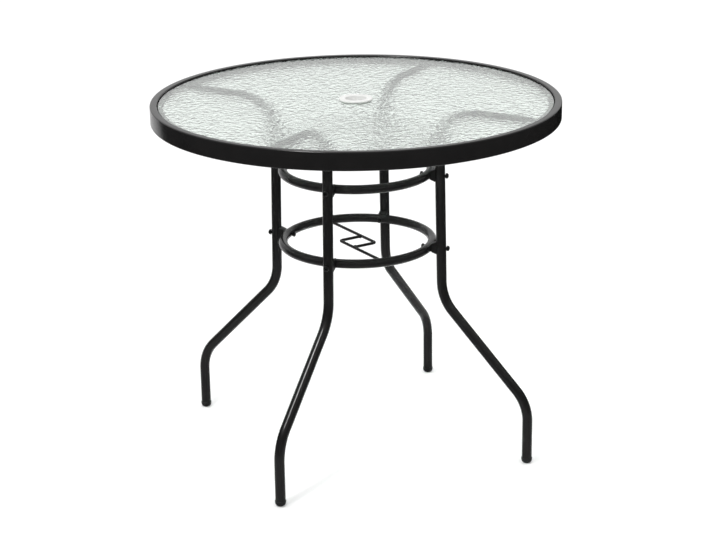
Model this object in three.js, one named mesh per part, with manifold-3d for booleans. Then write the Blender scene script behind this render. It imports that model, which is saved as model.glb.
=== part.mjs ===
// Umbrella table, in millimetres, +Z up, standing on z = 0 with its centre on the Z axis.
// A glass disc lies on the ledge of a roll-formed steel rim. Four bent tube legs carry the rim and are
// bolted, through saddle spacers, to two ring braces. Two bent rods in the lower ring guide the pole.
// Each leg and its fastenings are built once, with the upright on the X axis, and placed by four groups.

import * as THREE from "three";
import { mergeVertices } from "three/addons/utils/BufferGeometryUtils.js";
import Module from "manifold-3d";

// Clearances
const seatGap = 0.3; // between pieces that rest on, or fit into, each other
const overrun = 5; // how far a cutting shape runs past what it cuts

// Facets: how far a flat may fall short of the round that it stands for
const bendSag = 0.8; // on a tube's bends
const foldSag = 0.3; // on a sheet's folds
const roundSpans = 2; // on the rounding of an edge

// Rim: one strip of sheet, rolled to shape and closed to a ring
const tableHeight = 712;
const topDiameter = 800;
const rimHeight = 35;
const rimTopWidth = 14;
const rimSheet = 1.5;
const rimTopBend = 3; // centre-line radius of the bends on both sides of the top
const rimFold = 2; // centre-line radius of the fold along the bottom
const ledgeFold = 1; // and of the two folds of the ledge
const rimReturn = 9; // width of the hem turned in along the bottom
const ledgeWidth = 12;
const ledgeHem = 4; // height of the hem turned down along the ledge
const rimSegments = 48;

// Glass and its pads
const lipHeight = 3; // rim above the glass
const glassThickness = 5;
const glassSideGap = 1.5; // to the rim's inner wall
const glassChamfer = 0.8;
const glassHole = 50;
const padThickness = 1.5;
const padDiameter = 8;
const padsPerLeg = 2;
const padSides = 8;

// Grommet
const poleClearance = 42; // bore for the umbrella pole
const grommetFlange = 66;
const grommetFlangeThickness = 3;
const grommetFlangeRound = 1.6;
const clampRingDiameter = 60;
const clampRingThickness = 4;
const clampRingChamfer = 1;
const sleeveTail = 2; // sleeve past the clamp ring
const grommetSegments = 24;

// Legs
const legCount = 4;
const legTube = 20;
const legWall = 1.2;
const legPlace = 169; // from the table's centre to the top of the upright
const legTurn = 11.2; // degrees between the leg's plane and the radius through its upright
const footReach = 197.5; // from the upright to the foot
const footRise = 124; // where the foot's run would meet the splayed run
const kneeRise = 316; // where the splayed run would meet the upright
const kneeOffset = 7; // lean of the upright at the knee
const legBend = 86; // centre-line radius of the three bends
const armGlassGap = 1;
const legSides = 12;
const boreSides = 6;

// Flattened arm ends and what fastens them
const tongueThickness = 4;
const tongueHalfWidth = 14; // of the flattened bore
const tongueSquareness = 1.5;
const tongueClearance = 3; // the arm is flat from here to the ledge's edge
const pressLength = 24; // from round to flat
const pressSpans = 3;
const armEndGap = 5; // to the rim's outer wall
const tabWidth = 30;
const tabThickness = 3;
const tabCorner = 3;
const tabEdgeGap = 1; // to the hem's fold, and to the rim's outer wall
const screwHead = 11;
const screwHeadHeight = 3.3;
const screwHeadRound = 1.4;

// Ring braces
const ringTube = 18;
const ringWall = 1.2;
const ringRises = { upper: 569, lower: 421 };
const ringSegments = 32;
const ringSides = 10;

// Saddle spacers between a ring and a leg
const spacerThickness = 6; // at the bolt
const spacerWidth = 17;
const spacerRingHeight = 17;
const spacerLegHeight = 25;
const spacerWrap = 3.2; // how far it reaches round each tube

// Bolts, screws and nuts
const boltDiameter = 6;
const boltHead = 11;
const boltHeadHeight = 5;
const boltHeadRound = 3.6;
const boltNeck = 2; // shank left bare between head and leg
const boltTip = 1.2; // shank past the nut
const boltSides = 8;
const nutFlats = 10;
const nutThickness = 5;

// Umbrella holder rods
const rodDiameter = 6;
const rodBend = 6;
const rodHeading = 141; // degrees from the X axis to the rods' long runs
const rodPoleGap = 1.75; // to a pole that fills the grommet's bore
const rodDrop = 3.5; // from the middle of the lower ring down to the rods'
const rodSides = 8;

// Foot caps
const capDiameter = 21.5;
const capDome = 8; // height of the dome
const capFlat = 9; // diameter of the flat that it stands on
const capRim = 3; // straight band above the dome
const capPlug = 22; // how far the plug goes into the tube
const capDomeSpans = 3;
const capFin = 1.2;
const capFins = 2;
const capFinPitch = 7;

// Finishes
const powderCoat = { color: 0x17181a, roughness: 0.42, metalness: 0 };
const blackPlastic = { color: 0x111213, roughness: 0.55, metalness: 0 };
const blackZinc = { color: 0x1b1b1c, roughness: 0.4, metalness: 0.7 };
const clearGlass = { color: 0xdfeae4, roughness: 0.15, metalness: 0, transparent: true, opacity: 0.4 };
const clearRubber = { color: 0xe6e8e6, roughness: 0.5, metalness: 0 };
const palePlastic = { color: 0xe9e9e4, roughness: 0.35, metalness: 0 };

// Levels and radii that follow from the sizes above
const rimRadius = topDiameter / 2;
const rimBottom = tableHeight - rimHeight;
const wallRadius = rimRadius - rimTopWidth; // rim's inner wall, facing the glass
const outerWallInside = rimRadius - rimSheet;
const ledgeRadius = wallRadius - ledgeWidth;
const glassTop = tableHeight - lipHeight;
const glassBottom = glassTop - glassThickness;
const padBottom = glassBottom - seatGap - padThickness;
const ledgeTop = padBottom - seatGap;
const tabTop = ledgeTop - rimSheet - seatGap;
const tongueTop = tabTop - tabThickness - seatGap;
const tongueLevel = tongueTop - tongueThickness / 2;
const armLevel = glassBottom - armGlassGap - legTube / 2;
const boltHole = boltDiameter + 2 * seatGap;
const holderHalf = (poleClearance + rodDiameter) / 2 + rodPoleGap; // from the pole's axis to a rod's

// Solids: closing, cutting and joining
const wasm = await Module();
wasm.setup();

function solid(geometry) {
  const bare = geometry.clone();
  bare.deleteAttribute("normal");
  bare.deleteAttribute("uv");
  const merged = mergeVertices(bare);
  const vertProperties = new Float32Array(merged.attributes.position.array);
  const triVerts = new Uint32Array(merged.index.array);
  return new wasm.Manifold(new wasm.Mesh({ numProp: 3, vertProperties, triVerts }));
}

function geometryOf(manifold) {
  const mesh = manifold.getMesh();
  const geometry = new THREE.BufferGeometry();
  geometry.setAttribute("position", new THREE.BufferAttribute(mesh.vertProperties, 3));
  geometry.setIndex(new THREE.BufferAttribute(mesh.triVerts, 1));
  geometry.computeVertexNormals();
  return geometry;
}

function cut(geometry, tools) {
  return geometryOf(tools.reduce((left, tool) => left.subtract(solid(tool)), solid(geometry)));
}

// Bent strips and tubes
const radians = THREE.MathUtils.degToRad;
const point = (x, y) => new THREE.Vector2(x, y);

// Points and directions along straight runs that are joined by round bends
function bentPath(corners, bends, sag = bendSag) {
  const last = corners.length - 1;
  return corners.flatMap((corner, i) => {
    const before = corners[Math.max(i - 1, 0)];
    const after = corners[Math.min(i + 1, last)];
    if (i === 0 || i === last) return [{ at: corner, along: after.clone().sub(before).normalize() }];
    const into = corner.clone().sub(before).normalize();
    const out = after.clone().sub(corner).normalize();
    const turn = Math.atan2(into.cross(out), into.dot(out));
    const bend = bends[i - 1];
    const start = corner.clone().addScaledVector(into, -bend * Math.tan(Math.abs(turn) / 2));
    const centre = point(-into.y, into.x).multiplyScalar(Math.sign(turn) * bend).add(start);
    const spans = Math.ceil(Math.abs(turn) / (2 * Math.acos(1 - sag / bend)));
    return Array.from({ length: spans + 1 }, (_, k) => {
      const angle = (turn * k) / spans;
      const along = into.clone().rotateAround(point(0, 0), angle);
      return { at: start.clone().rotateAround(centre, angle), along };
    });
  });
}

// The two faces of a sheet that follows a path, as one closed outline
function sheetOutline(path, thickness) {
  const face = (offset) =>
    path.map(({ at, along }) => point(-along.y, along.x).multiplyScalar(offset).add(at));
  return [...face(thickness / 2), ...face(-thickness / 2).reverse()];
}

// A closed outline of (radius, height) points turned about the Z axis
function turned(outline, segments) {
  const loop = THREE.ShapeUtils.isClockWise(outline) ? outline.toReversed() : outline;
  return new THREE.LatheGeometry([...loop, loop[0]], segments).rotateX(Math.PI / 2);
}

// A quarter round between two headings in degrees
function quarter(centre, radius, from, to) {
  return Array.from({ length: roundSpans + 1 }, (_, k) => {
    const angle = radians(from + ((to - from) * k) / roundSpans);
    return point(centre.x + radius * Math.cos(angle), centre.y + radius * Math.sin(angle));
  });
}

// A tube's centre line. It has a station at each end of a straight run and several round a bend.
class CentreLine extends THREE.Curve {
  constructor(stations) {
    super();
    this.stations = stations;
  }
  station(share) {
    return this.stations[Math.round(share * (this.stations.length - 1))];
  }
  getPointAt(share, target = new THREE.Vector3()) {
    return target.copy(this.station(share).at);
  }
  getTangentAt(share, target = new THREE.Vector3()) {
    return target.copy(this.station(share).along);
  }
}

function polygon(radius, sides) {
  return Array.from({ length: sides }, (_, i) => {
    const angle = (2 * Math.PI * i) / sides;
    return point(radius * Math.cos(angle), radius * Math.sin(angle));
  });
}

function tube(stations, diameter, sides, wall = 0) {
  const section = new THREE.Shape(polygon(diameter / 2, sides));
  if (wall > 0) section.holes.push(new THREE.Path(polygon(diameter / 2 - wall, boreSides)));
  const extrudePath = new CentreLine(stations);
  return new THREE.ExtrudeGeometry(section, { steps: stations.length - 1, extrudePath });
}

// A drill along the X axis, at a height and a distance to the side
function drill(fromX, toX, y, z, diameter = boltHole) {
  const length = toX - fromX;
  const bit = new THREE.CylinderGeometry(diameter / 2, diameter / 2, length, boltSides);
  return bit.rotateZ(Math.PI / 2).translate(fromX + length / 2, y, z);
}

function upDrill(x, y, fromZ, toZ) {
  const length = toZ - fromZ;
  const bit = new THREE.CylinderGeometry(boltHole / 2, boltHole / 2, length, boltSides);
  return bit.rotateX(Math.PI / 2).translate(x, y, fromZ + length / 2);
}

// Rim
function rimGeometry() {
  const half = rimSheet / 2;
  const outside = rimRadius - half;
  const inside = wallRadius + half;
  const corners = [
    point(rimRadius - rimReturn, rimBottom + half),
    point(outside, rimBottom + half),
    point(outside, tableHeight - half),
    point(inside, tableHeight - half),
    point(inside, ledgeTop - half),
    point(ledgeRadius + half, ledgeTop - half),
    point(ledgeRadius + half, ledgeTop - ledgeHem),
  ];
  const bends = [rimFold, rimTopBend, rimTopBend, ledgeFold, ledgeFold];
  const path = bentPath(corners, bends, foldSag);
  return turned(sheetOutline(path, rimSheet), rimSegments);
}

// Glass: what the grommet's flange covers of its top is a face of its own
function glassGeometry() {
  const inner = glassHole / 2;
  const outer = wallRadius - glassSideGap;
  const outline = [
    point(inner, glassBottom),
    point(outer - glassChamfer, glassBottom),
    point(outer, glassBottom + glassChamfer),
    point(outer, glassTop - glassChamfer),
    point(outer - glassChamfer, glassTop),
    point(grommetFlange / 2 + seatGap, glassTop),
    point(inner, glassTop),
  ];
  return turned(outline, rimSegments);
}

function padGeometry() {
  const pad = new THREE.CylinderGeometry(padDiameter / 2, padDiameter / 2, padThickness, padSides);
  return pad.rotateX(Math.PI / 2).translate(0, 0, padThickness / 2);
}

// Grommet: a flanged sleeve from above and a clamp ring from below
const sleeveRadius = glassHole / 2 - seatGap;
const clampTop = glassBottom - seatGap;
const clampBottom = clampTop - clampRingThickness;

function grommetGeometry() {
  const bore = poleClearance / 2;
  const flangeBottom = glassTop + seatGap;
  const roundLevel = flangeBottom + grommetFlangeThickness - grommetFlangeRound;
  const flangeRadius = grommetFlange / 2;
  const outline = [
    point(bore, clampBottom - sleeveTail),
    point(sleeveRadius, clampBottom - sleeveTail),
    point(sleeveRadius, flangeBottom),
    point(flangeRadius, flangeBottom),
    ...quarter(point(flangeRadius - grommetFlangeRound, roundLevel), grommetFlangeRound, 0, 90),
    ...quarter(point(bore + grommetFlangeRound, roundLevel), grommetFlangeRound, 90, 180),
  ];
  return turned(outline, grommetSegments);
}

function clampRingGeometry() {
  const bore = sleeveRadius + seatGap;
  const outer = clampRingDiameter / 2;
  const outline = [
    point(bore, clampBottom),
    point(outer - clampRingChamfer, clampBottom),
    point(outer, clampBottom + clampRingChamfer),
    point(outer, clampTop),
    point(bore, clampTop),
  ];
  return turned(outline, grommetSegments);
}

// Leg
const legHeading = -radians(legTurn);
const legOut = new THREE.Vector3(Math.cos(legHeading), Math.sin(legHeading), 0);

// A point of the leg's plane: its reach from the upright's top and its height
function onLeg(reach, height) {
  return legOut.clone().multiplyScalar(reach).add(new THREE.Vector3(legPlace, 0, height));
}

// The reach at which the arm is a given distance from the table's centre
function reachAt(radius) {
  const across = legPlace * Math.sin(legHeading);
  return Math.sqrt(radius ** 2 - across ** 2) - legPlace * Math.cos(legHeading);
}

// The upright's axis at a height between the knee and the arm
function uprightAt(height) {
  return onLeg((kneeOffset * (armLevel - height)) / (armLevel - kneeRise), height);
}

const flatFrom = reachAt(ledgeRadius - tongueClearance);
const pressFrom = flatFrom - pressLength;
const armEnd = reachAt(outerWallInside - armEndGap);
const screwReach = reachAt((ledgeRadius + outerWallInside) / 2);
const tubeBottom = capDome + capRim + seatGap;

function legStations() {
  const corners = [
    point(footReach, tubeBottom),
    point(footReach, footRise),
    point(kneeOffset, kneeRise),
    point(0, armLevel),
    point(armEnd, armLevel),
  ];
  const path = bentPath(corners, [legBend, legBend, legBend]);
  const presses = Array.from({ length: pressSpans + 1 }, (_, k) => ({
    at: point(pressFrom + (pressLength * k) / pressSpans, armLevel),
    along: point(1, 0),
  }));
  path.splice(-1, 0, ...presses);
  return path.map(({ at, along }) => ({
    at: onLeg(at.x, at.y),
    along: legOut.clone().multiplyScalar(along.x).add(new THREE.Vector3(0, 0, along.y)),
  }));
}

const legLine = legStations();

// Presses the arm's end flat. Each skin keeps its distance from the bore, so the wall keeps its thickness.
function pressArm(geometry) {
  const places = geometry.attributes.position;
  const aside = new THREE.Vector3(-legOut.y, legOut.x, 0);
  const boreRadius = legTube / 2 - legWall;
  const slit = tongueThickness / 2 - legWall;
  for (let i = 0; i < places.count; i++) {
    const place = new THREE.Vector3().fromBufferAttribute(places, i);
    const arm = place.clone().sub(onLeg(0, armLevel));
    const along = arm.dot(legOut);
    const side = arm.dot(aside);
    const radius = Math.hypot(side, arm.z);
    if (along < pressFrom || radius > legTube) continue;
    const share = THREE.MathUtils.smoothstep(along, pressFrom, flatFrom);
    const skin = radius - boreRadius;
    const rise = THREE.MathUtils.clamp((tongueSquareness * arm.z) / radius, -1, 1);
    const flatSide = (side / radius) * (tongueHalfWidth + skin);
    const flatRise = rise * (slit + skin) + tongueLevel - armLevel;
    const moved = onLeg(along, armLevel + THREE.MathUtils.lerp(arm.z, flatRise, share));
    moved.addScaledVector(aside, THREE.MathUtils.lerp(side, flatSide, share));
    places.setXYZ(i, moved.x, moved.y, moved.z);
  }
  return geometry;
}

function legGeometry() {
  const leg = pressArm(tube(legLine, legTube, legSides, legWall));
  const holes = Object.values(ringRises).map((rise) => {
    const axis = uprightAt(rise);
    return drill(axis.x - legTube, axis.x + legTube, axis.y, rise);
  });
  const screw = onLeg(screwReach, tongueLevel);
  holes.push(upDrill(screw.x, screw.y, tongueLevel - overrun, tongueLevel + overrun));
  return cut(leg, holes);
}

// Foot cap: a dome with a small flat to stand on, and a finned plug inside the tube
function footCapGeometry() {
  const outer = capDiameter / 2;
  const flat = capFlat / 2;
  const finRadius = legTube / 2 - legWall * 2 - seatGap;
  const core = finRadius - capFin;
  const bandTop = capDome + capRim;
  const top = bandTop + capPlug;
  const dome = Array.from({ length: capDomeSpans + 1 }, (_, k) => {
    const angle = (Math.PI / 2) * (k / capDomeSpans);
    return point(flat + (outer - flat) * Math.sin(angle), capDome * (1 - Math.cos(angle)));
  });
  const fins = Array.from({ length: capFins }, (_, k) => {
    const base = bandTop + capFinPitch * (k + 1);
    return [point(core, base - capFin), point(finRadius, base), point(core, base + capFin)];
  });
  const outline = [
    point(0, 0),
    ...dome,
    point(outer, bandTop),
    point(core, bandTop),
    ...fins.flat(),
    point(core, top),
    point(0, top),
  ];
  return turned(outline, legSides);
}

// Rim tab: a tapped plate welded under the ledge, over the arm's flattened end
const tabInner = ledgeRadius + rimSheet + ledgeFold + tabEdgeGap;
const tabOuter = Math.sqrt((outerWallInside - tabEdgeGap) ** 2 - (tabWidth / 2) ** 2);

function roundedPlate(length, width, corner) {
  const x = length / 2;
  const y = width / 2;
  const centres = [point(x, y), point(-x, y), point(-x, -y), point(x, -y)];
  return new THREE.Shape(
    centres.flatMap((end, i) => {
      const inner = point(end.x - Math.sign(end.x) * corner, end.y - Math.sign(end.y) * corner);
      return quarter(inner, corner, 90 * i, 90 * (i + 1));
    }),
  );
}

function tabGeometry() {
  const screw = onLeg(screwReach, 0);
  const heading = Math.atan2(screw.y, screw.x);
  const shape = roundedPlate(tabOuter - tabInner, tabWidth, tabCorner);
  const plate = new THREE.ExtrudeGeometry(shape, { depth: tabThickness, bevelEnabled: false });
  plate.translate((tabInner + tabOuter) / 2, 0, tabTop - tabThickness).rotateZ(heading);
  return cut(plate, [upDrill(screw.x, screw.y, tabTop - tabThickness - overrun, tabTop + overrun)]);
}

// Arm screw, head down
function armScrewGeometry() {
  const shank = boltDiameter / 2;
  const head = screwHead / 2;
  const headTop = tongueTop - tongueThickness - seatGap;
  const headBottom = headTop - screwHeadHeight;
  const tip = tabTop - seatGap;
  const screw = onLeg(screwReach, 0);
  const outline = [
    point(0, headBottom),
    ...quarter(point(head - screwHeadRound, headBottom + screwHeadRound), screwHeadRound, -90, 0),
    point(head, headTop),
    point(shank, headTop),
    point(shank, tip),
    point(0, tip),
  ];
  return turned(outline, boltSides).translate(screw.x, screw.y, 0);
}

// Ring braces: the ring's radius leaves room for a spacer between it and the leaning uprights.
// The middle of a flat of the ring faces each leg.
function ringRadius(rise) {
  return uprightAt(rise).x - (legTube + ringTube) / 2 - spacerThickness;
}

function ringSolid(rise, diameter, sides) {
  const ring = new THREE.TorusGeometry(ringRadius(rise), diameter / 2, sides, ringSegments);
  return ring.rotateZ(Math.PI / ringSegments).translate(0, 0, rise);
}

function ringGeometry(rise) {
  const radius = ringRadius(rise);
  const holes = Array.from({ length: legCount }, (_, i) => {
    const hole = drill(radius - ringTube, radius + ringTube, uprightAt(rise).y, rise);
    return hole.rotateZ((2 * Math.PI * i) / legCount);
  });
  const bore = ringSolid(rise, ringTube - 2 * ringWall, boreSides);
  return cut(ringSolid(rise, ringTube, ringSides), [bore, ...holes]);
}

// Saddle spacer: taller at the leg, hollowed to both tubes
function spacerGeometry(rise) {
  const axis = uprightAt(rise);
  const from = ringRadius(rise) + ringTube / 2 - spacerWrap;
  const to = axis.x - legTube / 2 + spacerWrap;
  const shape = new THREE.Shape([
    point(from, rise - spacerRingHeight / 2),
    point(to, rise - spacerLegHeight / 2),
    point(to, rise + spacerLegHeight / 2),
    point(from, rise + spacerRingHeight / 2),
  ]);
  const block = new THREE.ExtrudeGeometry(shape, { depth: spacerWidth, bevelEnabled: false });
  block.rotateX(Math.PI / 2).translate(0, axis.y + spacerWidth / 2, 0);
  return cut(block, [
    tube(legLine, legTube + 2 * seatGap, legSides),
    ringSolid(rise, ringTube + 2 * seatGap, ringSides),
    drill(from - overrun, to + overrun, axis.y, rise),
  ]);
}

// Ring bolt: lies along the X axis, its round head outside the leg
function nutFace(rise) {
  return (ringRadius(rise) - ringTube / 2) * Math.cos(Math.PI / ringSegments) - seatGap;
}

function boltGeometry(rise) {
  const axis = uprightAt(rise);
  const shank = boltDiameter / 2;
  const head = boltHead / 2;
  const tip = nutFace(rise) - nutThickness - boltTip;
  const underHead = axis.x + legTube / 2 + boltNeck;
  const headTop = underHead + boltHeadHeight;
  const outline = [
    point(0, tip),
    point(shank, tip),
    point(shank, underHead),
    point(head, underHead),
    ...quarter(point(head - boltHeadRound, headTop - boltHeadRound), boltHeadRound, 0, 90),
    point(0, headTop),
  ];
  return turned(outline, boltSides).rotateY(Math.PI / 2).translate(0, axis.y, rise);
}

// Ring nut
function nutGeometry(rise) {
  const hexagon = new THREE.Shape(polygon(nutFlats / 2 / Math.cos(Math.PI / 6), 6));
  hexagon.holes.push(new THREE.Path(polygon(boltHole / 2, boltSides)));
  const nut = new THREE.ExtrudeGeometry(hexagon, { depth: nutThickness, bevelEnabled: false });
  return nut.rotateY(Math.PI / 2).translate(nutFace(rise) - nutThickness, uprightAt(rise).y, rise);
}

// Holder rod: a long run from the ring past the pole, then a return to the other rod
function rodGeometry() {
  const rise = ringRises.lower - rodDrop;
  const ringReach = Math.sqrt((ringRadius(ringRises.lower) - seatGap) ** 2 - holderHalf ** 2);
  const corners = [
    point(ringReach, -holderHalf),
    point(-holderHalf, -holderHalf),
    point(-holderHalf, holderHalf - rodDiameter / 2 - seatGap),
  ];
  const stations = bentPath(corners, [rodBend]).map(({ at, along }) => ({
    at: new THREE.Vector3(at.x, at.y, rise),
    along: new THREE.Vector3(along.x, along.y, 0),
  }));
  const rod = tube(stations, rodDiameter, rodSides).rotateZ(radians(rodHeading));
  return cut(rod, [ringSolid(ringRises.lower, ringTube + 2 * seatGap, ringSides)]);
}

// Assembly
const table = new THREE.Group();

function piece(name, geometry, finish, parent = table) {
  const mesh = new THREE.Mesh(geometry, new THREE.MeshStandardMaterial(finish));
  mesh.name = name;
  parent.add(mesh);
  return mesh;
}

piece("rim", rimGeometry(), powderCoat);
piece("glass_top", glassGeometry(), clearGlass);
piece("grommet", grommetGeometry(), palePlastic);
piece("grommet_clamp_ring", clampRingGeometry(), palePlastic);

for (const [level, rise] of Object.entries(ringRises)) {
  piece(`${level}_ring`, ringGeometry(rise), powderCoat);
}

const rod = rodGeometry();
piece("holder_rod_a", rod, powderCoat);
piece("holder_rod_b", rod, powderCoat).rotation.z = Math.PI;

const shared = {
  leg: legGeometry(),
  footCap: footCapGeometry(),
  tab: tabGeometry(),
  armScrew: armScrewGeometry(),
  pad: padGeometry(),
};
const fastening = Object.entries(ringRises).map(([level, rise]) => ({
  level,
  spacer: spacerGeometry(rise),
  bolt: boltGeometry(rise),
  nut: nutGeometry(rise),
}));

for (let i = 0; i < legCount; i++) {
  const station = new THREE.Group();
  station.rotation.z = (2 * Math.PI * i) / legCount;
  table.add(station);
  const number = i + 1;
  piece(`leg_${number}`, shared.leg, powderCoat, station);
  piece(`foot_cap_${number}`, shared.footCap, blackPlastic, station).position.copy(onLeg(footReach, 0));
  piece(`rim_tab_${number}`, shared.tab, powderCoat, station);
  piece(`arm_screw_${number}`, shared.armScrew, blackZinc, station);
  for (const { level, spacer, bolt, nut } of fastening) {
    piece(`${level}_spacer_${number}`, spacer, blackPlastic, station);
    piece(`${level}_bolt_${number}`, bolt, blackZinc, station);
    piece(`${level}_nut_${number}`, nut, blackZinc, station);
  }
  for (let k = 0; k < padsPerLeg; k++) {
    const heading = (2 * Math.PI * (k + 1 / 2)) / (legCount * padsPerLeg);
    const place = (ledgeRadius + wallRadius) / 2;
    const pad = piece(`glass_pad_${padsPerLeg * i + k + 1}`, shared.pad, clearRubber, station);
    pad.position.set(place * Math.cos(heading), place * Math.sin(heading), padBottom);
  }
}

export default table;
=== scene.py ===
"""Looks of the umbrella table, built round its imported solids.

Metres, +Z up, feet on z = 0, centre on the Z axis. The photograph's camera stands a little to the
right of the leg that points along -Y. Each leg is made once, with its upright on the X axis, and
turned to its four places, as the fastenings are.
"""

import math

import bmesh
import bpy
import numpy as np
from mathutils import Matrix, Vector
from mathutils.geometry import delaunay_2d_cdt


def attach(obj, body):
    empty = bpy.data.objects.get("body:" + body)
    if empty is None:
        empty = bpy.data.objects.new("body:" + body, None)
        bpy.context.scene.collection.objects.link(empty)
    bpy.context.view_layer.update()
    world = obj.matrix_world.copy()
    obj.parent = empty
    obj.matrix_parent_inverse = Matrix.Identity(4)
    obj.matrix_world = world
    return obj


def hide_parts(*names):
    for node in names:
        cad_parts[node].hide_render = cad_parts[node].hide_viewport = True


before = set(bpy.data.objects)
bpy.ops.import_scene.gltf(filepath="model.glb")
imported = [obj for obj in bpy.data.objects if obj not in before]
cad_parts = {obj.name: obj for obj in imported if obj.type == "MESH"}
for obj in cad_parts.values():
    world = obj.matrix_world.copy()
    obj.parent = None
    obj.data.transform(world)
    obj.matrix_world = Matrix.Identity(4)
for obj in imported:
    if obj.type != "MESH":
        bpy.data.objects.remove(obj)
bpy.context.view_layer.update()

# Sizes of the table's pieces, as in its solids

LEG_COUNT = 4
LEVELS = ("upper", "lower")

RIM_RADIUS = 0.400
RIM_TOP = 0.712
RIM_BOTTOM = 0.677
RIM_TOP_WIDTH = 0.014
RIM_SHEET = 0.0015
RIM_TOP_BEND = 0.0015  # half the solid's, for the photograph's crisp band
RIM_FOLD = 0.002
RIM_RETURN = 0.009
LEDGE_TOP = 0.7019
LEDGE_WIDTH = 0.012
LEDGE_HEM = 0.004
LEDGE_FOLD = 0.001
WALL_RADIUS = RIM_RADIUS - RIM_TOP_WIDTH
LEDGE_RADIUS = WALL_RADIUS - LEDGE_WIDTH

GLASS_RADIUS = 0.3845
GLASS_BOTTOM = 0.704
GLASS_TOP = 0.709
GLASS_CHAMFER = 0.0008
GLASS_HOLE = 0.025

PAD_RADIUS = 0.004
PAD_BOTTOM = 0.7022
PAD_TOP = 0.7037
PAD_COUNT = 8

POLE_RADIUS = 0.021
FLANGE_RADIUS = 0.033
FLANGE_BOTTOM = 0.7093
FLANGE_TOP = 0.7123
FLANGE_ROUND = 0.0014
SLEEVE_RADIUS = 0.0247
SLEEVE_BOTTOM = 0.6977
CLAMP_RADIUS = 0.030
CLAMP_BOTTOM = 0.6997
CLAMP_TOP = 0.7037

LEG_TUBE = 0.010
LEG_WALL = 0.0012
LEG_PLACE = 0.169
LEG_TURN = math.radians(-11.2)
FOOT_REACH = 0.1975
FOOT_RISE = 0.124
KNEE_RISE = 0.316
KNEE_OFFSET = 0.007
LEG_BEND = 0.086
ARM_LEVEL = 0.693
TUBE_BOTTOM = 0.0113
ARM_END = 0.2263
FLAT_FROM = 0.2038
PRESS_FROM = 0.1798
TONGUE_LEVEL = 0.6948
TONGUE_THICKNESS = 0.004
TONGUE_HALF_WIDTH = 0.014
TONGUE_SQUARENESS = 1.5

TAB_TOP = 0.7001
TAB_THICKNESS = 0.003
TAB_WIDTH = 0.030
TAB_INNER = 0.3775
TAB_OUTER = 0.3972
TAB_CORNER = 0.003

RING_TUBE = 0.009
RING_RISE = {"upper": 0.569, "lower": 0.421}
SPACER_THICKNESS = 0.006
SPACER_WIDTH = 0.017
SPACER_RING_HEIGHT = 0.017
SPACER_LEG_HEIGHT = 0.025
SPACER_WRAP = 0.0032
SEAT_GAP = 0.0003

BOLT_SHANK = 0.003
BOLT_HEAD = 0.0055
BOLT_HEAD_HEIGHT = 0.005
BOLT_HEAD_ROUND = 0.0036
BOLT_NECK = 0.002
NUT_FLATS = 0.010
NUT_THICKNESS = 0.005
NUT_FACETS = 32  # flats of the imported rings, which the nuts bear on
THREAD_PITCH = 0.001
BOLT_TIP = 0.0012

SCREW_REACH = 0.2190
SCREW_HEAD = 0.0055
SCREW_HEAD_HEIGHT = 0.0033
SCREW_HEAD_ROUND = 0.0014

ROD_RADIUS = 0.003
ROD_DROP = 0.0035
ROD_BEND = 0.006
ROD_HEADING = math.radians(141)
HOLDER_HALF = 0.02575

CAP_RADIUS = 0.01075
CAP_DOME = 0.008
CAP_FLAT = 0.0045
CAP_RIM = 0.003
CAP_PLUG = 0.022
CAP_CORE = 0.0063

# The photograph's camera

CAMERA_PLACE = (1.1125, -3.2571, 1.5445)
CAMERA_HEADING = math.radians(18.863)
CAMERA_PITCH = math.radians(19.030)
CAMERA_ROLL = math.radians(-0.794)
CAMERA_LENS = 90.99
CAMERA_SENSOR = 36


# Meshes


def loft(loops, ring=False):
    """Skins a row of loops that have equally many points.

    A ring's last loop meets its first, and any other row is closed by a fan at each end.
    """
    loops = np.asarray(loops, float)
    rows, count = loops.shape[:2]
    here = np.arange(count)
    after = (here + 1) % count
    vertices = loops.reshape(-1, 3)
    faces = []
    for row in range(rows if ring else rows - 1):
        a = row * count
        b = (row + 1) % rows * count
        faces += np.stack([a + here, a + after, b + after, b + here], 1).tolist()
    if not ring:
        vertices = np.vstack([vertices, loops[0].mean(0), loops[-1].mean(0)])
        for row, centre in ((0, rows * count), (rows - 1, rows * count + 1)):
            a = row * count
            faces += [(a + i, a + j, centre) for i, j in zip(here, after)]
    return mesh_of(vertices, faces)


def close_skin(mesh, merge, smooth):
    """Merges a mesh's doubled points and turns its faces outwards.

    Its edges are sharp where they turn by more than an angle in degrees.
    """
    shape = bmesh.new()
    shape.from_mesh(mesh)
    bmesh.ops.remove_doubles(shape, verts=shape.verts, dist=merge)
    bmesh.ops.recalc_face_normals(shape, faces=shape.faces)
    shape.to_mesh(mesh)
    shape.free()
    mesh.shade_smooth()
    mesh.set_sharp_from_angle(angle=math.radians(smooth))
    return mesh


def mesh_of(vertices, faces, smooth=35):
    """A closed mesh of points and faces."""
    mesh = bpy.data.meshes.new("skin")
    mesh.from_pydata([tuple(v) for v in vertices], [], [tuple(int(i) for i in f) for f in faces])
    return close_skin(mesh, merge=1e-7, smooth=smooth)


def circle(radius, count):
    angles = np.arange(count) * 2 * math.pi / count
    return np.stack([radius * np.cos(angles), radius * np.sin(angles)], 1)


def lathe(outline, segments):
    """Turns an outline of (radius, height) about the Z axis.

    A radius may also be a row of radii, one for each heading. An outline that starts and ends
    on the axis is closed by fans.
    """
    on_axis = np.ndim(outline[0][0]) == 0 and outline[0][0] == 0
    loops = [
        np.column_stack([circle(radius, segments), np.full(segments, height)])
        for radius, height in (outline[1:-1] if on_axis else outline)
    ]
    return loft(loops, ring=not on_axis)


def arc(centre, radius, start, end, spans):
    """Points round a centre between two headings in degrees."""
    angles = np.radians(np.linspace(start, end, spans + 1))
    return [(centre[0] + radius * math.cos(a), centre[1] + radius * math.sin(a)) for a in angles]


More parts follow.
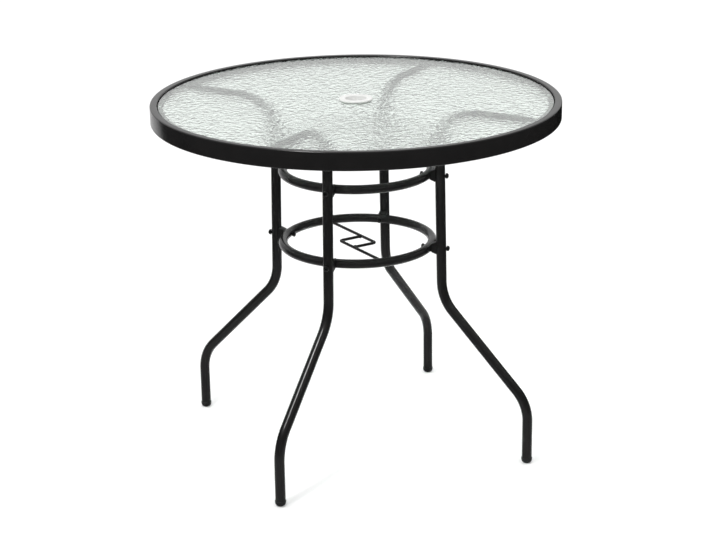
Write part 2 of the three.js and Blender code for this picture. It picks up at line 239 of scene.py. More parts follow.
def bent_path(corners, bends, span):
    """Points and directions along straight runs joined by round bends, as (x, y, along x, along y).

    A bend is divided into spans of at most the given angle.
    """
    corners = [Vector(c) for c in corners]
    stations = []
    for i, corner in enumerate(corners):
        into = (corner - corners[max(i - 1, 0)]).normalized()
        out = (corners[min(i + 1, len(corners) - 1)] - corner).normalized()
        if i in (0, len(corners) - 1):
            stations.append((*corner, *(out if i == 0 else into)))
            continue
        turn = math.atan2(into.cross(out), into.dot(out))
        side = Vector((-into.y, into.x)) * math.copysign(bends[i - 1], turn)
        start = corner - into * bends[i - 1] * math.tan(abs(turn) / 2)
        spans = max(1, math.ceil(abs(turn) / span))
        for k in range(spans + 1):
            angle = turn * k / spans
            spin = Matrix.Rotation(angle, 2)
            along = spin @ into
            place = start + side + spin @ -side
            stations.append((*place, *along))
    return stations


def sheet_outline(stations, thickness):
    """Both faces of a sheet that follows a path, as one closed outline."""
    faces = []
    for offset in (thickness / 2, -thickness / 2):
        face = [(x - ay * offset, y + ax * offset) for x, y, ax, ay in stations]
        faces += face if offset > 0 else face[::-1]
    return faces


def turned_copy(mesh, quarter):
    copy = mesh.copy()
    copy.transform(Matrix.Rotation(quarter * math.tau / LEG_COUNT, 4, "Z"))
    return copy


# Adding nodes and pieces


def add(tree, kind, settings=None, links=None):
    """Adds a node to a tree with its settings and, by input name or number, its values and links."""
    node = tree.nodes.new(kind)
    for name, value in (settings or {}).items():
        setattr(node, name, value)
    for name, value in (links or {}).items():
        socket = node.inputs[name]
        if isinstance(value, bpy.types.NodeSocket):
            tree.links.new(value, socket)
        else:
            socket.default_value = value
    return node


def new_object(name, data):
    item = bpy.data.objects.new(name, data)
    bpy.context.scene.collection.objects.link(item)
    return item


def piece(name, mesh, finish, slot, *nodes):
    """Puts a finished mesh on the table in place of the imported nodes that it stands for."""
    mesh.name = name
    mesh.materials.clear()
    mesh.materials.append(finish)
    item = new_object(name, mesh)
    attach(item, "root")
    if nodes:
        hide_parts(*nodes)


def linear(hex_colour):
    """A colour of sRGB hex digits as linear red, green, blue and alpha."""
    shares = [int(hex_colour[i : i + 2], 16) / 255 for i in (1, 3, 5)]
    return [s / 12.92 if s <= 0.04045 else ((s + 0.055) / 1.055) ** 2.4 for s in shares] + [1]


def new_tree(name, sizes):
    """An empty Geometry Nodes tree with one geometry in and out and named sizes."""
    tree = bpy.data.node_groups.new(name, "GeometryNodeTree")
    tree.interface.new_socket("Geometry", in_out="INPUT", socket_type="NodeSocketGeometry")
    for label, kind in sizes.items():
        tree.interface.new_socket(label, in_out="INPUT", socket_type=f"NodeSocket{kind}")
    tree.interface.new_socket("Geometry", in_out="OUTPUT", socket_type="NodeSocketGeometry")
    return tree, add(tree, "NodeGroupInput").outputs


def close_tree(tree, geometry, finish):
    """Ends a tree in real geometry with its finish."""
    real = add(tree, "GeometryNodeRealizeInstances", links={"Geometry": geometry})
    coated = add(
        tree, "GeometryNodeSetMaterial", links={"Geometry": real.outputs[0], "Material": finish}
    )
    add(tree, "NodeGroupOutput", links={0: coated.outputs[0]})


def grown(mesh, tree, values):
    """The plain mesh that a tree makes of a starting mesh and values for its named inputs."""
    item = new_object("start", mesh)
    modifier = item.modifiers.new("tree", "NODES")
    modifier.node_group = tree
    for socket in tree.interface.items_tree:
        if socket.in_out == "INPUT" and socket.name in values:
            modifier[socket.identifier] = values[socket.name]
    item.update_tag()
    graph = bpy.context.evaluated_depsgraph_get()
    graph.update()
    result = bpy.data.meshes.new_from_object(item.evaluated_get(graph))
    item.modifiers.remove(modifier)
    bpy.data.objects.remove(item)
    return result


def line_mesh(points, closed):
    """A bare line through points, as a start for a tree."""
    mesh = bpy.data.meshes.new("line")
    edges = [(i, i + 1) for i in range(len(points) - 1)]
    if closed:
        edges.append((len(points) - 1, 0))
    mesh.from_pydata([tuple(p) for p in points], edges, [])
    return mesh


# Finishes


def new_finish(name, values):
    """A material of one shader, whose sockets take the given values."""
    finish = bpy.data.materials.new(name)
    finish.use_nodes = True
    tree = finish.node_tree
    tree.nodes.clear()
    shader = add(tree, "ShaderNodeBsdfPrincipled", links=values)
    add(tree, "ShaderNodeOutputMaterial", links={"Surface": shader.outputs[0]})
    return finish


def mottled_finish(name, patches, detail, shades, roughness, values):
    """A material whose colour and roughness drift between two values each, in cloudy patches.

    The patches are counted per metre. It comes with its tree, shader, Object coordinates and cloud.
    """
    finish = new_finish(name, values)
    tree = finish.node_tree
    shader = tree.nodes["Principled BSDF"]
    place = add(tree, "ShaderNodeTexCoord").outputs["Object"]
    noise = add(
        tree, "ShaderNodeTexNoise", links={"Vector": place, "Scale": patches, "Detail": detail}
    )
    cloud = noise.outputs["Fac"]
    tone = add(tree, "ShaderNodeValToRGB", links={"Fac": cloud})
    for element, shade in zip(tone.color_ramp.elements, shades):
        element.color = linear(shade)
    smoothest, roughest = roughness
    worn = add(
        tree,
        "ShaderNodeMapRange",
        links={"Value": cloud, "To Min": smoothest, "To Max": roughest},
    )
    tree.links.new(tone.outputs["Color"], shader.inputs["Base Color"])
    tree.links.new(worn.outputs["Result"], shader.inputs["Roughness"])
    return finish, tree, shader, place, cloud


COAT_PEEL = 0.002


def powder_coat():
    """Black polyester powder baked on steel: neutral near-black, a soft sheen and orange peel."""
    finish, tree, shader, place, _ = mottled_finish(
        "powder_coated_steel",
        patches=35,
        detail=3,
        shades=("#151515", "#1c1b1b"),
        roughness=(0.18, 0.25),
        values={"IOR": 1.5, "Specular IOR Level": 0.1},
    )
    # The peel of a real coat repeats every 0.8 mm or so: it is drawn at 2 mm to show in the render.
    peel = add(
        tree, "ShaderNodeTexNoise", links={"Vector": place, "Scale": 1 / COAT_PEEL, "Detail": 2}
    )
    bump = add(
        tree,
        "ShaderNodeBump",
        links={"Height": peel.outputs["Fac"], "Strength": 0.08, "Distance": 0.0003},
    )
    tree.links.new(bump.outputs["Normal"], shader.inputs["Normal"])
    return finish


GLASS_ABSORPTION = 53  # per metre
GLASS_WAVES = 120  # per metre, so 8 mm long


def rippled_glass():
    """Tempered soda-lime glass rolled with a water pattern: clear, green cast, slightly soft skin."""
    finish, tree, shader, place, _ = mottled_finish(
        "rippled_soda_lime_glass",
        patches=60,
        detail=2,
        shades=("#eaf1ed", "#f3f8f5"),
        roughness=(0.03, 0.07),
        values={"IOR": 1.52, "Transmission Weight": 1.0},
    )
    # Waves on both faces, which the mirrored sky shows above the arms and the ledge too
    waves = add(
        tree,
        "ShaderNodeTexNoise",
        links={"Vector": place, "Scale": GLASS_WAVES, "Detail": 1.5, "Distortion": 0.4},
    )
    bump = add(
        tree,
        "ShaderNodeBump",
        links={"Height": waves.outputs["Fac"], "Strength": 0.7, "Distance": 0.0011},
    )
    tree.links.new(bump.outputs["Normal"], shader.inputs["Normal"])
    body = add(
        tree,
        "ShaderNodeVolumeAbsorption",
        links={"Color": linear("#c3d1c6"), "Density": GLASS_ABSORPTION},
    )
    tree.links.new(body.outputs[0], tree.nodes["Material Output"].inputs["Volume"])
    return finish


def grommet_plastic():
    """Natural polyethylene, moulded: waxy off-white that light sinks into, with soft scuffs."""
    finish, tree, shader, _, cloud = mottled_finish(
        "natural_polyethylene",
        patches=90,
        detail=4,
        shades=("#d3d4d2", "#dcdcda"),
        roughness=(0.32, 0.48),
        values={
            "IOR": 1.51,
            "Transmission Weight": 0.04,
            "Specular IOR Level": 0.2,
            "Subsurface Weight": 0.2,
            "Subsurface Radius": (1, 1, 1),
            "Subsurface Scale": 0.002,
        },
    )
    bump = add(
        tree, "ShaderNodeBump", links={"Height": cloud, "Strength": 0.1, "Distance": 0.0004}
    )
    tree.links.new(bump.outputs["Normal"], shader.inputs["Normal"])
    return finish


MOULD_GRAIN = 0.0008


def moulded_black():
    """Black polypropylene, injection moulded: dull black with a fine spark-eroded grain."""
    finish, tree, shader, place, _ = mottled_finish(
        "black_polypropylene",
        patches=120,
        detail=3,
        shades=("#080808", "#0e0e0e"),
        roughness=(0.45, 0.62),
        values={"IOR": 1.49, "Specular IOR Level": 0.2},
    )
    # Spark-eroded grain is some 0.2 mm wide: it is drawn at 0.8 mm to show in the render.
    grain = add(tree, "ShaderNodeTexVoronoi", links={"Vector": place, "Scale": 1 / MOULD_GRAIN})
    bump = add(
        tree,
        "ShaderNodeBump",
        links={"Height": grain.outputs["Distance"], "Strength": 0.2, "Distance": 0.0002},
    )
    tree.links.new(bump.outputs["Normal"], shader.inputs["Normal"])
    return finish


def black_zinc():
    """Black-passivated zinc on steel: a dark metal with patchy grey where the film is thin."""
    finish, tree, shader, _, cloud = mottled_finish(
        "black_zinc_plate",
        patches=400,
        detail=4,
        shades=("#0c0c0c", "#1c1c1c"),
        roughness=(0.30, 0.50),
        values={"Metallic": 0.75},
    )
    bump = add(
        tree, "ShaderNodeBump", links={"Height": cloud, "Strength": 0.1, "Distance": 0.0002}
    )
    tree.links.new(bump.outputs["Normal"], shader.inputs["Normal"])
    return finish


def clear_vinyl():
    """Soft clear vinyl: slightly milky, with a dulled skin."""
    return mottled_finish(
        "clear_vinyl",
        patches=300,
        detail=2,
        shades=("#d9dedb", "#f0f3f1"),
        roughness=(0.30, 0.45),
        values={"IOR": 1.53, "Transmission Weight": 0.6},
    )[0]


COAT = powder_coat()
GLASS = rippled_glass()
GROMMET = grommet_plastic()
BLACK_PLASTIC = moulded_black()
ZINC = black_zinc()
VINYL = clear_vinyl()


# Rim

RIM_SEGMENTS = 288
RIM_BEND_SPAN = math.radians(12)


def rim_mesh():
    half = RIM_SHEET / 2
    outside = RIM_RADIUS - half
    inside = WALL_RADIUS + half
    corners = [
        (RIM_RADIUS - RIM_RETURN, RIM_BOTTOM + half),
        (outside, RIM_BOTTOM + half),
        (outside, RIM_TOP - half),
        (inside, RIM_TOP - half),
        (inside, LEDGE_TOP - half),
        (LEDGE_RADIUS + half, LEDGE_TOP - half),
        (LEDGE_RADIUS + half, LEDGE_TOP - LEDGE_HEM),
    ]
    bends = [RIM_FOLD, RIM_TOP_BEND, RIM_TOP_BEND, LEDGE_FOLD, LEDGE_FOLD]
    path = bent_path(corners, bends, RIM_BEND_SPAN)
    return lathe(sheet_outline(path, RIM_SHEET), RIM_SEGMENTS)


piece("rolled_rim", rim_mesh(), COAT, "powder_coat", "rim")


# Glass: its underside is rolled with ripples, and its top is flat

RIPPLE_PITCH = 0.0024  # between the points that carry the ripples
RIPPLE_LENGTH = 0.0083
RIPPLE_HEIGHT = 0.0019
RIPPLE_SEED = 4.7
SPOT_CLEARANCE = 0.7 * RIPPLE_PITCH  # from the edges to the nearest rippled point
FLAT_MARGIN = 0.003  # unrippled round the edges
HOLE_SEGMENTS = 48
GLASS_EDGE = GLASS_RADIUS - GLASS_CHAMFER


def ripple_tree():
    """Lifts and lowers the rippled points by a noise of the rolled pattern's length and height."""
    tree, given = new_tree(
        "rolled_ripples",
        {"Length": "Float", "Height": "Float", "Seed": "Float", "Finish": "Material"},
    )
    place = add(tree, "GeometryNodeInputPosition").outputs[0]
    per_length = add(
        tree, "ShaderNodeMath", {"operation": "DIVIDE"}, {0: 1.0, 1: given["Length"]}
    ).outputs[0]
    wave = add(
        tree,
        "ShaderNodeTexNoise",
        {"noise_dimensions": "4D"},
        {
            "Vector": place,
            "W": given["Seed"],
            "Scale": per_length,
            "Detail": 2.0,
            "Roughness": 0.5,
            "Distortion": 0.3,
        },
    ).outputs[0]
    rolled = add(
        tree, "GeometryNodeInputNamedAttribute", {"data_type": "FLOAT"}, {"Name": "rolled"}
    ).outputs[0]
    centred = add(tree, "ShaderNodeMath", {"operation": "SUBTRACT"}, {0: wave, 1: 0.5}).outputs[0]
    lift = add(
        tree, "ShaderNodeMath", {"operation": "MULTIPLY"}, {0: centred, 1: given["Height"]}
    ).outputs[0]
    share = add(tree, "ShaderNodeMath", {"operation": "MULTIPLY"}, {0: lift, 1: rolled}).outputs[0]
    offset = add(tree, "ShaderNodeCombineXYZ", links={"Z": share}).outputs[0]
    moved = add(
        tree,
        "GeometryNodeSetPosition",
        links={"Geometry": given["Geometry"], "Offset": offset},
    )
    close_tree(tree, moved.outputs[0], given["Finish"])
    return tree


def ripple_spots():
    """Hexagonally spaced places all over the glass, clear of its edges."""
    row_rise = RIPPLE_PITCH * math.sqrt(3) / 2
    reach = math.ceil(GLASS_EDGE / row_rise)
    rows = np.arange(-reach, reach + 1)
    x, y = np.meshgrid(rows * RIPPLE_PITCH, rows * row_rise)
    x = x + (rows % 2)[:, None] * RIPPLE_PITCH / 2
    spots = np.stack([x.ravel(), y.ravel()], 1)
    away = np.hypot(spots[:, 0], spots[:, 1])
    return spots[(away < GLASS_EDGE - SPOT_CLEARANCE) & (away > GLASS_HOLE + SPOT_CLEARANCE)]


def glass_face(height, spots):
    """A flat ring of triangles between the glass's edges, with a point at each given spot."""
    points = np.vstack([circle(GLASS_EDGE, RIM_SEGMENTS), circle(GLASS_HOLE, HOLE_SEGMENTS), spots])
    edges = [(i, (i + 1) % RIM_SEGMENTS) for i in range(RIM_SEGMENTS)]
    edges += [
        (RIM_SEGMENTS + i, RIM_SEGMENTS + (i + 1) % HOLE_SEGMENTS) for i in range(HOLE_SEGMENTS)
    ]
    flat, _, faces, *_ = delaunay_2d_cdt([Vector(p) for p in points], edges, [], 0, 1e-7)
    flat = np.array([tuple(p) for p in flat])
    middles = flat[np.array(faces)].mean(1)
    outside_hole = np.hypot(middles[:, 0], middles[:, 1]) > GLASS_HOLE
    kept = np.array(faces)[outside_hole]
    return np.column_stack([flat, np.full(len(flat), height)]), kept


def glass_mesh():
    """The glass disc: rippled underside, flat top, and ground chamfers round the outer edge."""
    under, under_faces = glass_face(GLASS_BOTTOM, ripple_spots())
    top, top_faces = glass_face(GLASS_TOP, np.empty((0, 2)))
    vertices = [*under, *top]
    faces = [*under_faces.tolist(), *(top_faces + len(under)).tolist()]
    outer_edge = [
        (GLASS_EDGE, GLASS_BOTTOM),
        (GLASS_RADIUS, GLASS_BOTTOM + GLASS_CHAMFER),
        (GLASS_RADIUS, GLASS_TOP - GLASS_CHAMFER),
        (GLASS_EDGE, GLASS_TOP),
    ]
    hole_edge = [(GLASS_HOLE, GLASS_BOTTOM), (GLASS_HOLE, GLASS_TOP)]
    for band, count in ((outer_edge, RIM_SEGMENTS), (hole_edge, HOLE_SEGMENTS)):
        here = np.arange(count)
        after = (here + 1) % count
        for (radius, low), (wider, high) in zip(band, band[1:]):
            a = len(vertices)
            b = a + count
            vertices += [(*p, low) for p in circle(radius, count)]
            vertices += [(*p, high) for p in circle(wider, count)]
            faces += np.stack([a + here, a + after, b + after, b + here], 1).tolist()
    mesh = mesh_of(vertices, faces, smooth=25)
    place = np.empty(len(mesh.vertices) * 3)
    mesh.vertices.foreach_get("co", place)
    place = place.reshape(-1, 3)
    away = np.hypot(place[:, 0], place[:, 1])
    from_edge = np.clip((GLASS_EDGE - away) / FLAT_MARGIN, 0, 1)
    from_hole = np.clip((away - GLASS_HOLE) / FLAT_MARGIN, 0, 1)
    below = place[:, 2] < GLASS_BOTTOM + GLASS_CHAMFER / 2
    rolled = (from_edge * from_hole * below).astype(np.float32)
    mesh.attributes.new("rolled", "FLOAT", "POINT").data.foreach_set("value", rolled)
    return mesh


ripples = {
    "Length": RIPPLE_LENGTH,
    "Height": RIPPLE_HEIGHT,
    "Seed": RIPPLE_SEED,
    "Finish": GLASS,
}
rippled_glass_mesh = grown(glass_mesh(), ripple_tree(), ripples)
piece("rippled_glass_top", rippled_glass_mesh, GLASS, "rippled_glass", "glass_top")


# Pads under the glass

PAD_SEGMENTS = 32
PAD_EDGE = 0.0003


def pad_mesh():
    height = PAD_TOP - PAD_BOTTOM
    outline = [
        (0, 0),
        (PAD_RADIUS - PAD_EDGE, 0),
        (PAD_RADIUS, PAD_EDGE),
        (PAD_RADIUS, height - PAD_EDGE),
        (PAD_RADIUS - PAD_EDGE, height),
        (0, height),
    ]
    return lathe(outline, PAD_SEGMENTS)


def pads_tree():
    """Sets copies of one pad evenly round a circle, the first half a step from the X axis."""
    tree, given = new_tree(
        "pads_round_the_ledge",
        {"Count": "Int", "Radius": "Float", "Level": "Float", "Finish": "Material"},
    )
    spots = add(
        tree,
        "GeometryNodeMeshCircle",
        links={"Vertices": given["Count"], "Radius": given["Radius"]},
    )
    half_step = add(
        tree, "ShaderNodeMath", {"operation": "DIVIDE"}, {0: math.pi, 1: given["Count"]}
    )
    turn = add(tree, "ShaderNodeCombineXYZ", links={"Z": half_step.outputs[0]})
    lift = add(tree, "ShaderNodeCombineXYZ", links={"Z": given["Level"]})
    placed = add(
        tree,
        "GeometryNodeTransform",
        links={
            "Geometry": spots.outputs[0],
            "Rotation": turn.outputs[0],
            "Translation": lift.outputs[0],
        },
    )
    pads = add(
        tree,
        "GeometryNodeInstanceOnPoints",
        links={"Points": placed.outputs[0], "Instance": given["Geometry"]},
    )
    close_tree(tree, pads.outputs[0], given["Finish"])
    return tree


pad_ring = {
    "Count": PAD_COUNT,
    "Radius": (LEDGE_RADIUS + WALL_RADIUS) / 2,
    "Level": PAD_BOTTOM,
    "Finish": VINYL,
}
pad_names = [f"glass_pad_{number + 1}" for number in range(PAD_COUNT)]
piece("soft_pads", grown(pad_mesh(), pads_tree(), pad_ring), VINYL, "clear_rubber", *pad_names)


# Grommet

GROMMET_SEGMENTS = 96
FLANGE_SPANS = 6
CLAMP_CHAMFER = 0.001
CLAMP_FLUTES = 24
CLAMP_FLUTE_DEPTH = 0.0007
CLAMP_FLUTE_SPANS = 8


def grommet_mesh():
    level = FLANGE_TOP - FLANGE_ROUND
    outline = [
        (POLE_RADIUS, SLEEVE_BOTTOM),
        (SLEEVE_RADIUS, SLEEVE_BOTTOM),
        (SLEEVE_RADIUS, FLANGE_BOTTOM),
        (FLANGE_RADIUS, FLANGE_BOTTOM),
        *arc((FLANGE_RADIUS - FLANGE_ROUND, level), FLANGE_ROUND, 0, 90, FLANGE_SPANS),
        *arc((POLE_RADIUS + FLANGE_ROUND, level), FLANGE_ROUND, 90, 180, FLANGE_SPANS),
    ]
    return lathe(outline, GROMMET_SEGMENTS)


def clamp_ring_mesh():
    """The grommet's lower ring, with finger flutes round it."""
    bore = SLEEVE_RADIUS + SEAT_GAP
    count = CLAMP_FLUTES * CLAMP_FLUTE_SPANS
    headings = np.arange(count) * math.tau / count
    flutes = CLAMP_FLUTE_DEPTH * np.maximum(np.cos(headings * CLAMP_FLUTES), 0)
    outline = [
        (bore, CLAMP_BOTTOM),
        (CLAMP_RADIUS - CLAMP_CHAMFER - flutes, CLAMP_BOTTOM),
        (CLAMP_RADIUS - flutes, CLAMP_BOTTOM + CLAMP_CHAMFER),
        (CLAMP_RADIUS - flutes, CLAMP_TOP),
        (bore, CLAMP_TOP),
    ]
    return lathe(outline, count)


piece("umbrella_grommet", grommet_mesh(), GROMMET, "pale_plastic", "grommet")
piece("grommet_nut_ring", clamp_ring_mesh(), GROMMET, "pale_plastic", "grommet_clamp_ring")


# Legs

LEG_SIDES = 36
BEND_SPAN = math.radians(3.5)
PRESS_SPANS = 14
CAP_SEGMENTS = 48
CAP_DOME_SPANS = 10
CAP_EDGE = 0.0004
LEG_OUT = Vector((math.cos(LEG_TURN), math.sin(LEG_TURN), 0))
LEG_ASIDE = Vector((-LEG_OUT.y, LEG_OUT.x, 0))


def on_leg(reach, height):
    """A point of the leg's plane, by its reach from the upright's top and its height."""
    return Vector((LEG_PLACE, 0, height)) + LEG_OUT * reach


def leg_stations():
    corners = [
        (FOOT_REACH, TUBE_BOTTOM),
        (FOOT_REACH, FOOT_RISE),
        (KNEE_OFFSET, KNEE_RISE),
        (0, ARM_LEVEL),
        (ARM_END, ARM_LEVEL),
    ]
    path = bent_path(corners, [LEG_BEND] * 3, BEND_SPAN)
    presses = [
        (reach, ARM_LEVEL, 1, 0) for reach in np.linspace(PRESS_FROM, FLAT_FROM, PRESS_SPANS + 1)
    ]
    return path[:-1] + presses + path[-1:]


def smooth_step(value, low, high):
    share = min(max((value - low) / (high - low), 0), 1)
    return share * share * (3 - 2 * share)


def leg_loop(station, radius):
    """One cross-section of the leg's tube: round, and pressed flat towards the arm's end."""
    reach, height, along, rise = station
    bore = LEG_TUBE - LEG_WALL
    skin = radius - bore
    share = smooth_step(reach, PRESS_FROM, FLAT_FROM) if height > ARM_LEVEL - LEG_TUBE else 0
    up = Vector((-rise * LEG_OUT.x, -rise * LEG_OUT.y, along))
    centre = on_leg(reach, height)
    loop = []
    for x, y in circle(1, LEG_SIDES):
        squared = max(-1, min(1, TONGUE_SQUARENESS * y))
        flat_rise = squared * (TONGUE_THICKNESS / 2 - LEG_WALL + skin)
        side = radius * x * (1 - share) + x * (TONGUE_HALF_WIDTH + skin) * share
        lift = radius * y * (1 - share) + (flat_rise + TONGUE_LEVEL - ARM_LEVEL) * share
        loop.append(centre + LEG_ASIDE * side + up * lift)
    return loop


def leg_mesh():
    stations = leg_stations()
    outside = [leg_loop(s, LEG_TUBE) for s in stations]
    inside = [leg_loop(s, LEG_TUBE - LEG_WALL) for s in reversed(stations)]
    return loft(outside + inside, ring=True)


def foot_cap_mesh():
    """A domed cap whose plug goes up the tube."""
    dome = [
        (CAP_FLAT + (CAP_RADIUS - CAP_FLAT) * math.sin(a), CAP_DOME * (1 - math.cos(a)))
        for a in np.linspace(0, math.pi / 2, CAP_DOME_SPANS + 1)
    ]
    top = CAP_DOME + CAP_RIM
    outline = [
        (0, 0),
        *dome,
        (CAP_RADIUS, top - CAP_EDGE),
        (CAP_RADIUS - CAP_EDGE, top),
        (CAP_CORE, top),
        (CAP_CORE, top + CAP_PLUG),
        (0, top + CAP_PLUG),
    ]
    mesh = lathe(outline, CAP_SEGMENTS)
    mesh.transform(Matrix.Translation(on_leg(FOOT_REACH, 0)))
    return mesh


def four_pieces(name, mesh, finish, slot, node=None):
    """A leg's piece, and its copies at the other three legs."""
    for quarter in range(LEG_COUNT):
        number = quarter + 1
        nodes = [f"{node}_{number}"] if node else []
        piece(f"{name}_{number}", turned_copy(mesh, quarter), finish, slot, *nodes)


four_pieces("leg_tube", leg_mesh(), COAT, "powder_coat", "leg")
four_pieces("foot_dome", foot_cap_mesh(), BLACK_PLASTIC, "black_plastic", "foot_cap")


# Ring braces and holder rods: tubes drawn along their centre lines

RING_SEGMENTS = 180
RING_SIDES = 32
ROD_SIDES = 20
ROD_BEND_SPAN = math.radians(9)


def upright_at(height):
    """Where the upright's axis is, at a height between the knee and the arm."""
    return on_leg(KNEE_OFFSET * (ARM_LEVEL - height) / (ARM_LEVEL - KNEE_RISE), height)


def ring_radius(height):
    return upright_at(height).x - LEG_TUBE - RING_TUBE - SPACER_THICKNESS


def tube_tree():
    """Draws a round tube along a line.

    Its radius swells by a share at even steps, as a weld bead's does.
    """
    tree, given = new_tree(
        "tube_on_a_line",
        {
            "Radius": "Float",
            "Sides": "Int",
            "Swell": "Float",
            "Step": "Float",
            "Finish": "Material",
        },
    )
    line = add(tree, "GeometryNodeMeshToCurve", links={"Mesh": given["Geometry"]})
    travelled = add(tree, "GeometryNodeSplineParameter").outputs["Length"]
    half_turns = add(
        tree, "ShaderNodeMath", {"operation": "DIVIDE"}, {0: math.pi, 1: given["Step"]}
    )
    phase = add(
        tree, "ShaderNodeMath", {"operation": "MULTIPLY"}, {0: travelled, 1: half_turns.outputs[0]}
    )
    wave = add(tree, "ShaderNodeMath", {"operation": "SINE"}, {0: phase.outputs[0]})
    scallop = add(tree, "ShaderNodeMath", {"operation": "ABSOLUTE"}, {0: wave.outputs[0]})
    swollen = add(
        tree,
        "ShaderNodeMath",
        {"operation": "MULTIPLY_ADD"},
        {0: scallop.outputs[0], 1: given["Swell"], 2: 1.0},
    )
    sized = add(
        tree,
        "GeometryNodeSetCurveRadius",
        links={"Curve": line.outputs[0], "Radius": swollen.outputs[0]},
    )
    section = add(
        tree,
        "GeometryNodeCurvePrimitiveCircle",
        {"mode": "RADIUS"},
        {"Resolution": given["Sides"], "Radius": given["Radius"]},
    )
    tube = add(
        tree,
        "GeometryNodeCurveToMesh",
        links={"Curve": sized.outputs[0], "Profile Curve": section.outputs[0], "Fill Caps": True},
    )
    close_tree(tree, tube.outputs[0], given["Finish"])
    return tree


TUBE_TREE = tube_tree()


def tube_mesh(points, closed, radius, sides, swell=0.0, step=1.0):
    values = {"Radius": radius, "Sides": sides, "Swell": swell, "Step": step, "Finish": COAT}
    mesh = grown(line_mesh(points, closed), TUBE_TREE, values)
    return close_skin(mesh, merge=1e-6, smooth=40)


def rod_frame(half_turn):
    """Turns and lifts a rod's own plan, where its long run lies along X, to its place."""
    turn = Matrix.Rotation(ROD_HEADING + half_turn * math.pi, 4, "Z")
    return Matrix.Translation((0, 0, RING_RISE["lower"] - ROD_DROP)) @ turn


RING_INSIDE = ring_radius(RING_RISE["lower"]) - math.sqrt(RING_TUBE**2 - ROD_DROP**2)
ROD_REACH = math.sqrt(RING_INSIDE**2 - HOLDER_HALF**2)
ROD_RETURN = HOLDER_HALF - ROD_RADIUS - SEAT_GAP


def rod_points(half_turn):
    """The centre line of a holder rod: from the ring past the pole, then back to the other rod."""
    corners = [(ROD_REACH, -HOLDER_HALF), (-HOLDER_HALF, -HOLDER_HALF), (-HOLDER_HALF, ROD_RETURN)]
    path = bent_path(corners, [ROD_BEND], ROD_BEND_SPAN)
    return [rod_frame(half_turn) @ Vector((x, y, 0)) for x, y, _, _ in path]


for level in LEVELS:
    rise = RING_RISE[level]
    centre_line = [(*p, rise) for p in circle(ring_radius(rise), RING_SEGMENTS)]
    ring = tube_mesh(centre_line, True, RING_TUBE, RING_SIDES)
    piece(f"{level}_ring_tube", ring, COAT, "powder_coat", f"{level}_ring")
for half_turn, letter in enumerate("ab"):
    rod = tube_mesh(rod_points(half_turn), False, ROD_RADIUS, ROD_SIDES)
    piece(f"pole_rod_{letter}", rod, COAT, "powder_coat", f"holder_rod_{letter}")


# Tabs under the rim's ledge, and the welds

PLATE_CORNER_SPANS = 6
TAB_EDGE = 0.0003
ARM_SCREW = on_leg(0, 0).lerp(on_leg(1, 0), SCREW_REACH)
TAB_HEADING = math.atan2(ARM_SCREW.y, ARM_SCREW.x)
BEAD_RADIUS = 0.0010
BEAD_STEP = 0.0016
BEAD_SWELL = 0.22
BEAD_SIDES = 10
BEAD_POINTS = 40
END_WELD_SINK = 0.0004
END_WELD_SIDES = 12
END_WELD_POINTS = 36
RING_WELD = 0.0035  # radius of the bead's run round a rod's end, at the ring
RING_WELD_BEAD = 0.0013
ROD_WELD = 0.0029  # and at the other rod
ROD_WELD_BEAD = 0.0014


def rounded_rectangle(x0, x1, y0, y1, corner):
    points = []
    for x, y, start in ((x1, y1, 0), (x0, y1, 90), (x0, y0, 180), (x1, y0, 270)):
        across = math.copysign(corner, x - (x0 + x1) / 2)
        along = math.copysign(corner, y - (y0 + y1) / 2)
        points += arc((x - across, y - along), corner, start, start + 90, PLATE_CORNER_SPANS)
    return np.array(points)


def tab_mesh():
    """A plate with rounded corners and broken edges, drilled for its screw."""
    half = TAB_WIDTH / 2
    centre = np.array([ARM_SCREW.to_2d().length, 0])
    wide = rounded_rectangle(TAB_INNER, TAB_OUTER, -half, half, TAB_CORNER)
    inward = wide - np.array([(TAB_INNER + TAB_OUTER) / 2, 0])
    narrow = wide - TAB_EDGE * np.sign(inward)
    outward = wide - centre
    bore = centre + outward / np.linalg.norm(outward, axis=1)[:, None] * (BOLT_SHANK + SEAT_GAP)
    low = TAB_TOP - TAB_THICKNESS
    rows = (
        (narrow, low),
        (wide, low + TAB_EDGE),
        (wide, TAB_TOP - TAB_EDGE),
        (narrow, TAB_TOP),
        (bore, TAB_TOP),
        (bore, low),
    )
    loops = [np.column_stack([points, np.full(len(points), height)]) for points, height in rows]
    mesh = loft(loops, ring=True)
    mesh.transform(Matrix.Rotation(TAB_HEADING, 4, "Z"))
    return mesh


def beads_mesh(runs, closed, sides):
    """Weld beads along several runs, as one mesh. A run is its points and its bead's radius."""
    beads = bmesh.new()
    for points, radius in runs:
        beads.from_mesh(tube_mesh(points, closed, radius, sides, BEAD_SWELL, BEAD_STEP))
    mesh = bpy.data.meshes.new("beads")
    beads.to_mesh(mesh)
    beads.free()
    return mesh


def tab_beads_mesh():
    """Fillet welds between the tab's two sides and the ledge above it."""
    spin = Matrix.Rotation(TAB_HEADING, 3, "Z")
    reaches = np.linspace(TAB_INNER + TAB_CORNER, WALL_RADIUS, BEAD_POINTS)
    aside = TAB_WIDTH / 2 + BEAD_RADIUS / 3
    level = TAB_TOP - BEAD_RADIUS / 2
    runs = [
        ([spin @ Vector((x, side * aside, level)) for x in reaches], BEAD_RADIUS)
        for side in (-1, 1)
    ]
    return beads_mesh(runs, False, BEAD_SIDES)


